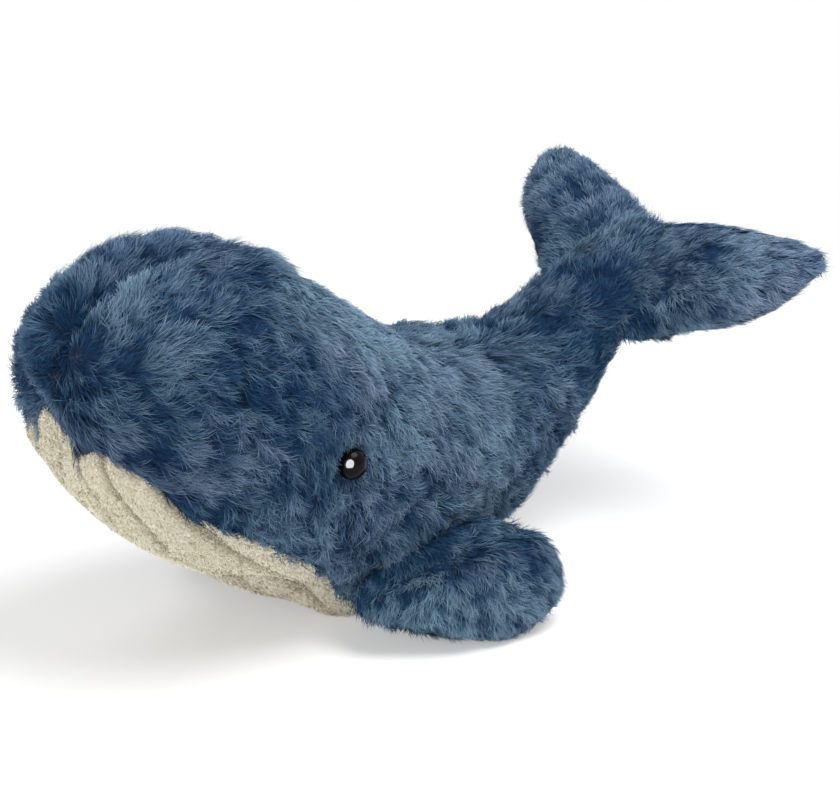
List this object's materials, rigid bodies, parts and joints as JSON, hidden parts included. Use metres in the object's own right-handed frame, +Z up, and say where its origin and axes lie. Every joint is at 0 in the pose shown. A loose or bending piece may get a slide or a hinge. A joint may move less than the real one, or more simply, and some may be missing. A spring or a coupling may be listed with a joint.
{
  "type": "plush whale",
  "caption": "Stuffed whale in long-pile blue fur with a pleated cream throat, gloss eyes, side fins that flap and a raised tail with broad flukes.",
  "frame": {"origin": "under the middle of the whole whale, on the surface that it lies on", "axes": "+Z up; the nose towards -Y and the flukes towards +Y; the whale's left side towards +X"},
  "size_m": [0.1768, 0.3332, 0.1579],
  "materials": {
    "fur": "long-pile polyester fur, dusty blue with paler tips",
    "cream_plush": "short cream plush with sewn pleats",
    "fibre": "loose white polyester fibre",
    "pellets": "plastic pellets in a thin woven bag",
    "eye": "polished black",
    "washer": "plain moulded white"
  },
  "bodies": {
    "body": {"left_side_cover": "fur", "right_side_cover": "fur", "throat_panel": "cream_plush", "body_stuffing": "fibre", "pellet_bag": "pellets", "left_eye": "eye", "right_eye": "eye", "left_eye_washer": "washer", "right_eye_washer": "washer"},
    "tail": {"left_tail_cover": "fur", "right_tail_cover": "fur", "tail_stuffing": "fibre"},
    "stock": {"left_stock_cover": "fur", "right_stock_cover": "fur", "stock_stuffing": "fibre"},
    "left_fluke": {"left_fluke_upper_cover": "fur", "left_fluke_lower_cover": "fur", "left_fluke_stuffing": "fibre"},
    "left_fin": {"left_fin_upper_cover": "fur", "left_fin_lower_cover": "fur", "left_fin_stuffing": "fibre"},
    "right_fluke": {"right_fluke_upper_cover": "fur", "right_fluke_lower_cover": "fur", "right_fluke_stuffing": "fibre"},
    "right_fin": {"right_fin_upper_cover": "fur", "right_fin_lower_cover": "fur", "right_fin_stuffing": "fibre"}
  },
  "joints": [
    {"name": "tail_bend", "type": "hinge", "parent": "body", "child": "tail", "pos_m": [0, 0.03643, 0.05104], "axis": [1, 0, 0], "range_deg": [-20, 20], "stiffness_Nm_per_rad": 0.6, "springref_deg": 4.01},
    {"name": "tail_swing", "type": "hinge", "parent": "tail", "child": "stock", "pos_m": [0, 0.09328, 0.07599], "axis": [0, -0.5878, 0.809], "range_deg": [-18, 18], "stiffness_Nm_per_rad": 0.3},
    {"name": "left_fluke_flap", "type": "hinge", "parent": "stock", "child": "left_fluke", "pos_m": [0.023, 0.0945, 0.07696], "axis": [0, -0.891, -0.454], "range_deg": [-25, 25], "stiffness_Nm_per_rad": 0.12, "springref_deg": 1.72},
    {"name": "right_fluke_flap", "type": "hinge", "parent": "stock", "child": "right_fluke", "pos_m": [-0.023, 0.0945, 0.07696], "axis": [0, 0.891, 0.454], "range_deg": [-25, 25], "stiffness_Nm_per_rad": 0.12, "springref_deg": 1.72},
    {"name": "left_fin_flap", "type": "hinge", "parent": "body", "child": "left_fin", "pos_m": [0.04898, -0.02954, 0.02995], "axis": [-0.135, -0.9609, -0.2419], "range_deg": [-6, 26], "stiffness_Nm_per_rad": 0.1},
    {"name": "right_fin_flap", "type": "hinge", "parent": "body", "child": "right_fin", "pos_m": [-0.04898, -0.02954, 0.02995], "axis": [-0.135, 0.9609, 0.2419], "range_deg": [-6, 26], "stiffness_Nm_per_rad": 0.1}
  ]
}
